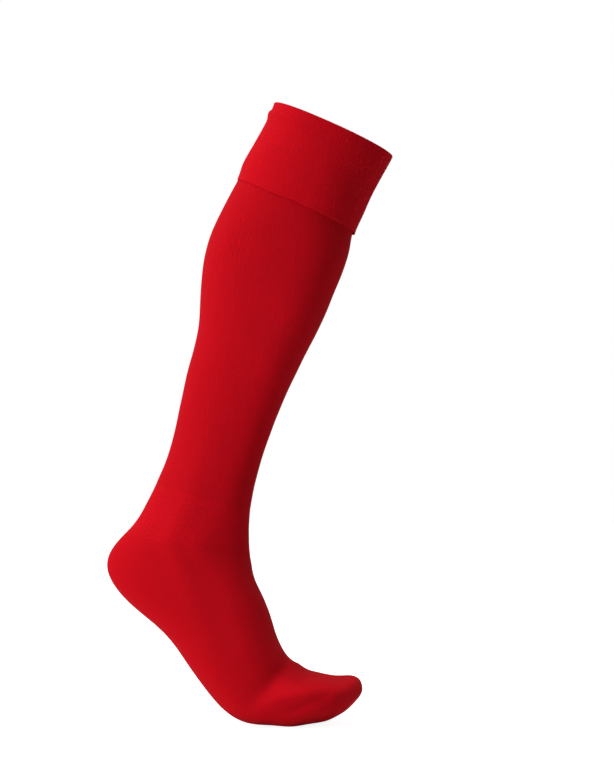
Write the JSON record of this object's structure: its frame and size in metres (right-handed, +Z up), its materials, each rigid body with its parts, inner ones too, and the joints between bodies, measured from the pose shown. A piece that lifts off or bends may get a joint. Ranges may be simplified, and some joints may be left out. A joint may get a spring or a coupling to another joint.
{
  "type": "sports sock",
  "caption": "Knee-high knitted sports sock in its worn form, with a turned-over cuff, ribbed leg, mesh ankle band, cushioned heel and foot, and closed toe.",
  "frame": {"origin": "centre of the leg opening, at the top fold of the cuff", "axes": "+X towards the toes, +Y towards the big-toe side, +Z up, with the leg leaning forward and the heel lifted as worn"},
  "size_m": [0.2502, 0.1126, 0.5453],
  "materials": {
    "cuff_knit": "red fine rib knit, matt",
    "rib_knit": "red fine rib knit, matt",
    "mesh_knit": "red dotted mesh knit, matt",
    "heel_knit": "red cushioned plain knit, matt",
    "foot_knit": "red cushioned plain knit, matt",
    "toe_knit": "red cushioned plain knit, matt"
  },
  "bodies": {
    "root": {"turnover_cuff": "cuff_knit", "leg_tube": "rib_knit", "ankle_band": "mesh_knit", "heel_pocket": "heel_knit", "foot_tube": "foot_knit", "toe_cap": "toe_knit"}
  },
  "joints": []
}
